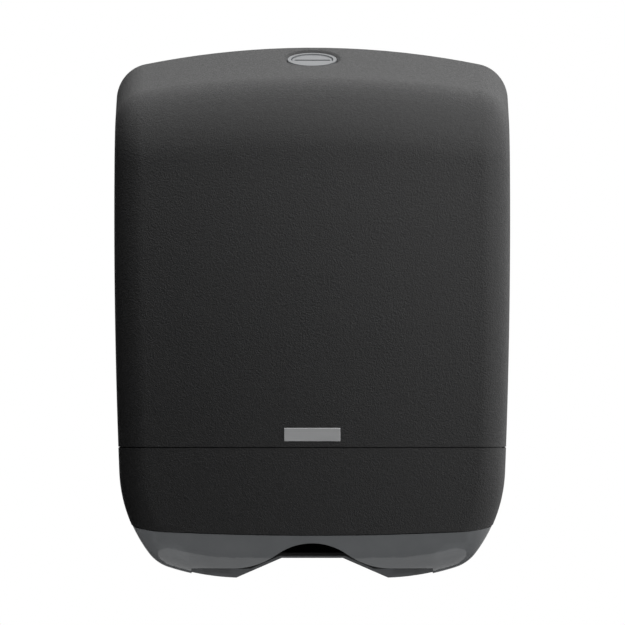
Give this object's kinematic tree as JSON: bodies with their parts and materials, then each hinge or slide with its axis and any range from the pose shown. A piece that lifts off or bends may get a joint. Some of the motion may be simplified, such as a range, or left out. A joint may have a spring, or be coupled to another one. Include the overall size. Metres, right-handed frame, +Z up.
{
  "type": "hand towel dispenser",
  "caption": "Wall-mounted folded hand towel dispenser: curved black cover with a push lock in its sloping roof, smoky outlet tray, hinged at the foot of the wall plate.",
  "frame": {"origin": "middle of the four wall screw holes, on the wall face of the back plate", "axes": "+Z up, +Y into the wall, +X to the right of someone facing the dispenser"},
  "size_m": [0.29, 0.134, 0.3906],
  "materials": {
    "textured_black_abs": "fine spark-eroded grain",
    "smoky_polycarbonate": "smooth, smoky and see-through",
    "chassis_abs": "plain moulded",
    "lock_grey_nylon": "satin moulded",
    "lock_dark_acetal": "satin moulded",
    "badge_aluminium": "brushed",
    "zinc_steel": "zinc plated",
    "bright_steel": "ground"
  },
  "bodies": {
    "chassis": {"back_plate": "chassis_abs", "towel_shelf": "chassis_abs", "shelf_screws": "zinc_steel", "latch_keeper": "chassis_abs", "keeper_screws": "zinc_steel", "hinge_pin_right": "bright_steel", "hinge_pin_left": "bright_steel"},
    "cover": {"cover_shell": "textured_black_abs", "cover_band": "textured_black_abs", "band_screws": "zinc_steel", "outlet_tray": "smoky_polycarbonate", "tray_screws": "zinc_steel", "badge_plate": "badge_aluminium", "lock_body": "lock_grey_nylon", "lock_screws": "zinc_steel", "lock_spring": "bright_steel", "latch_pin": "bright_steel", "latch_spring": "bright_steel"},
    "button": {"lock_button": "lock_dark_acetal"},
    "rotor": {"lock_rotor": "lock_grey_nylon", "rotor_clip": "bright_steel"},
    "latch": {"latch": "lock_dark_acetal"}
  },
  "joints": [
    {"name": "cover_hinge", "type": "hinge", "parent": "chassis", "child": "cover", "pos_m": [0, -0.014, -0.207], "axis": [1, 0, 0], "range_deg": [0, 88]},
    {"name": "button_press", "type": "slide", "parent": "cover", "child": "button", "axis": [0, 0.2756, -0.9613], "range_m": [0, 0.003], "stiffness_N_per_m": 400, "springref_m": -0.004, "deforming": ["lock_spring"]},
    {"name": "rotor_turn", "type": "hinge", "parent": "button", "child": "rotor", "pos_m": [0, -0.03, 0.1679], "axis": [0, 0.2756, -0.9613], "range_deg": [0, 90]},
    {"name": "latch_pivot", "type": "hinge", "parent": "cover", "child": "latch", "pos_m": [0, -0.04249, 0.13165], "axis": [-1, 0, 0], "range_deg": [0, 8], "deforming": ["latch_spring"]}
  ],
  "couplings": [
    {"joint": "latch_pivot", "follows": "button_press", "rad_per_m": 45.455}
  ]
}
